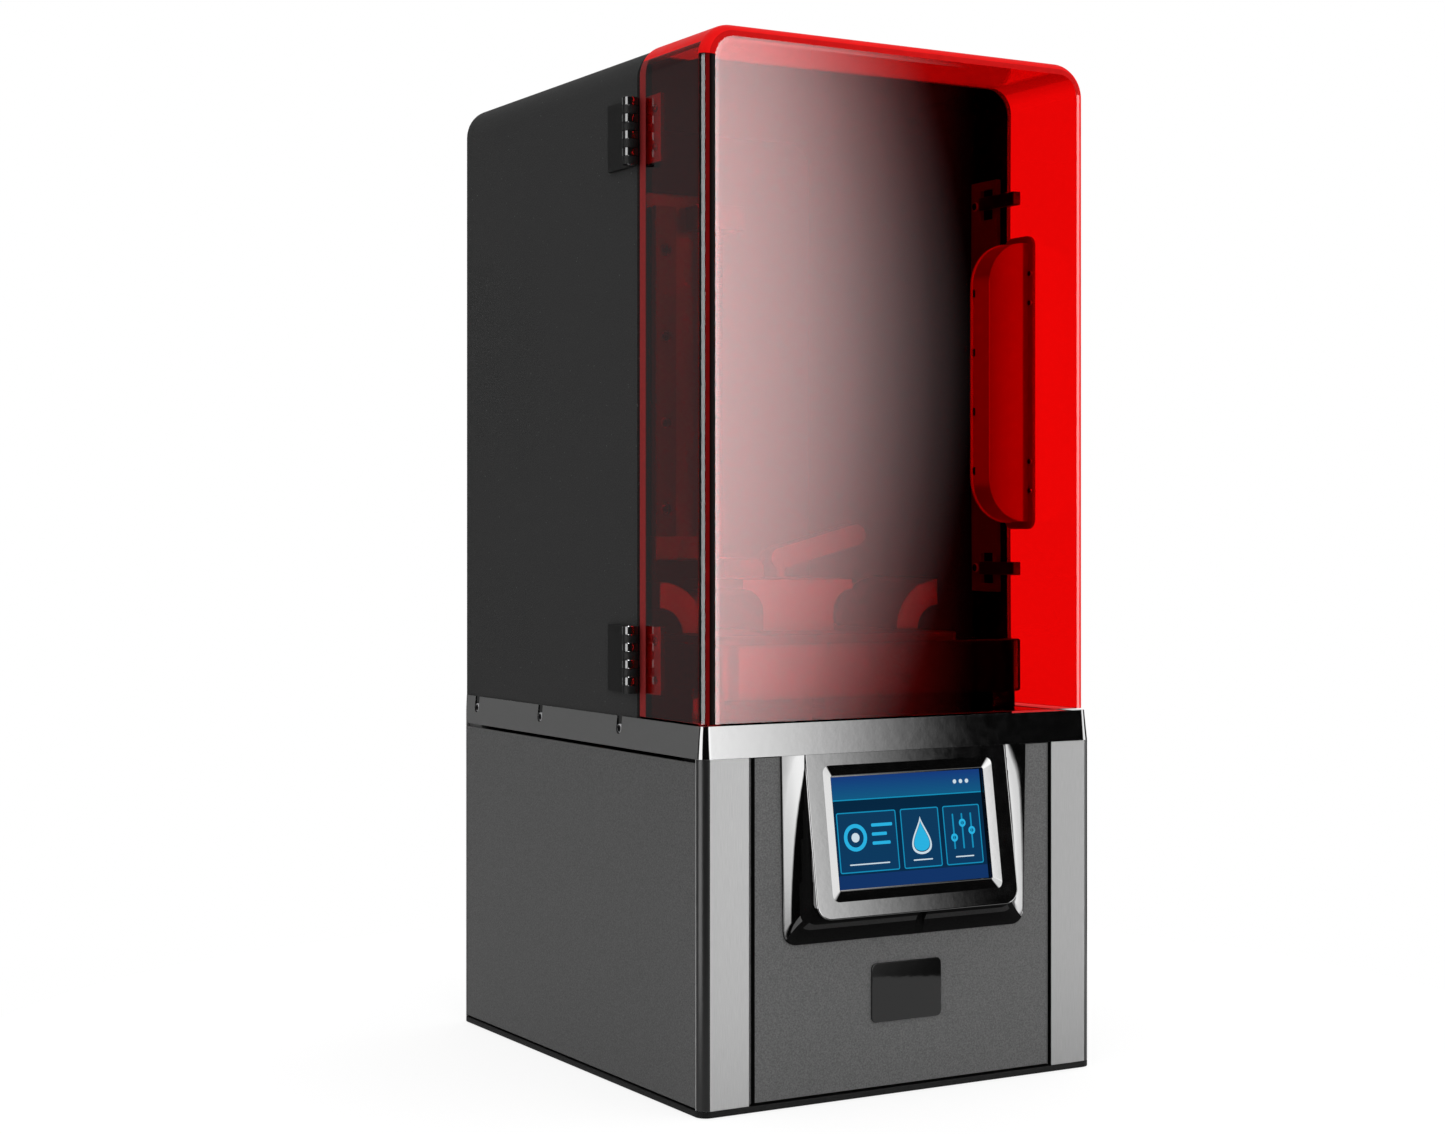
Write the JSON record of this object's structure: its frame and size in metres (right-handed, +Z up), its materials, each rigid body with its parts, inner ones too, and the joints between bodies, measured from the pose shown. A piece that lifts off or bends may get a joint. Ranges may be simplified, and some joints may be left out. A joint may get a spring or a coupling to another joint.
{
  "type": "resin printer",
  "caption": "Desktop laser resin printer: square base with a tilted touch screen, black rear shell, red clear hinged door, resin tank and build platform on a screw-driven lift.",
  "frame": {"origin": "centre of the base plate's underside, which the machine stands on", "axes": "+X to the right seen from the front, +Y towards the rear, +Z up"},
  "size_m": [0.2719, 0.33, 0.59],
  "materials": {
    "black_plate": "matt",
    "foot_rubber": "matt",
    "grey_panel": "fine texture",
    "silver_post": "satin",
    "gloss_black": "gloss",
    "clear_glass": "clear",
    "black_shell": "fine texture",
    "screw_steel": "brushed",
    "dark_steel": "satin",
    "bright_steel": "bright",
    "dark_aluminium": "anodised",
    "grey_aluminium": "satin",
    "motor_black": "satin",
    "black_plastic": "matt",
    "tank_black": "gloss",
    "screen_glass": "gloss",
    "works_grey": "matt",
    "board_green": "satin",
    "red_acrylic": "clear gloss",
    "red_cup": "gloss",
    "nut_brass": "satin"
  },
  "bodies": {
    "frame": {"base_plate": "black_plate", "rubber_feet": "foot_rubber", "left_side_panel": "grey_panel", "right_side_panel": "grey_panel", "rear_lower_panel": "grey_panel", "left_corner_post": "silver_post", "right_corner_post": "silver_post", "front_panel": "grey_panel", "deck": "gloss_black", "deck_window": "clear_glass", "upper_shell": "black_shell", "rear_cover": "black_shell", "shell_screws": "screw_steel", "striker_strip": "dark_steel", "striker_screws": "screw_steel", "upper_body_leaf": "dark_steel", "lower_body_leaf": "dark_steel", "body_leaf_screws": "screw_steel", "hinge_pins": "bright_steel", "z_column": "dark_aluminium", "z_rail": "bright_steel", "rail_screws": "screw_steel", "screw_bearing": "dark_aluminium", "z_motor": "motor_black", "tank_seats": "black_plastic", "resin_tank": "tank_black", "tank_film": "clear_glass", "screen_surround": "gloss_black", "screen_housing": "gloss_black", "display_panel": "screen_glass", "badge_plate": "gloss_black", "optics_block": "works_grey", "power_supply": "grey_aluminium", "main_board": "board_green", "fan_frame": "black_plastic", "power_inlet": "black_plastic"},
    "door": {"door_shell": "red_acrylic", "handle_cup": "red_cup", "handle_screws": "screw_steel", "latch_fingers": "black_plastic", "upper_door_leaf": "dark_steel", "lower_door_leaf": "dark_steel", "door_leaf_screws": "screw_steel"},
    "platform": {"rail_carriage": "grey_aluminium", "platform_arm": "dark_aluminium", "lead_nut": "nut_brass", "clamp_hub": "dark_aluminium", "build_plate": "grey_aluminium", "left_grip": "dark_aluminium", "right_grip": "dark_aluminium"},
    "screw": {"lead_screw": "bright_steel"},
    "lever": {"clamp_lever": "black_plastic"},
    "rocker": {"power_rocker": "black_plastic"},
    "fan": {"fan_rotor": "black_plastic"}
  },
  "joints": [
    {"name": "door_hinge", "type": "hinge", "parent": "frame", "child": "door", "pos_m": [-0.1349, -0.079, 0.4], "axis": [0, 0, -1], "range_deg": [0, 110]},
    {"name": "platform_lift", "type": "slide", "parent": "frame", "child": "platform", "axis": [0, 0, 1], "range_m": [-0.02, 0.19]},
    {"name": "screw_turn", "type": "hinge", "parent": "frame", "child": "screw", "pos_m": [0.034, 0.1175, 0.3], "axis": [0, 0, 1], "range_deg": [-910, 8560]},
    {"name": "lever_turn", "type": "hinge", "parent": "platform", "child": "lever", "pos_m": [0, -0.0115, 0.29], "axis": [0, 0, -1], "range_deg": [0, 90]},
    {"name": "rocker_tilt", "type": "hinge", "parent": "frame", "child": "rocker", "pos_m": [0.071, 0.155, 0.0659], "axis": [1, 0, 0], "range_deg": [-8, 8]},
    {"name": "fan_spin", "type": "hinge", "parent": "frame", "child": "fan", "pos_m": [-0.059, 0.1385, 0.11], "axis": [0, 1, 0], "continuous": true}
  ],
  "couplings": [
    {"joint": "screw_turn", "follows": "platform_lift", "rad_per_m": 785.4}
  ]
}
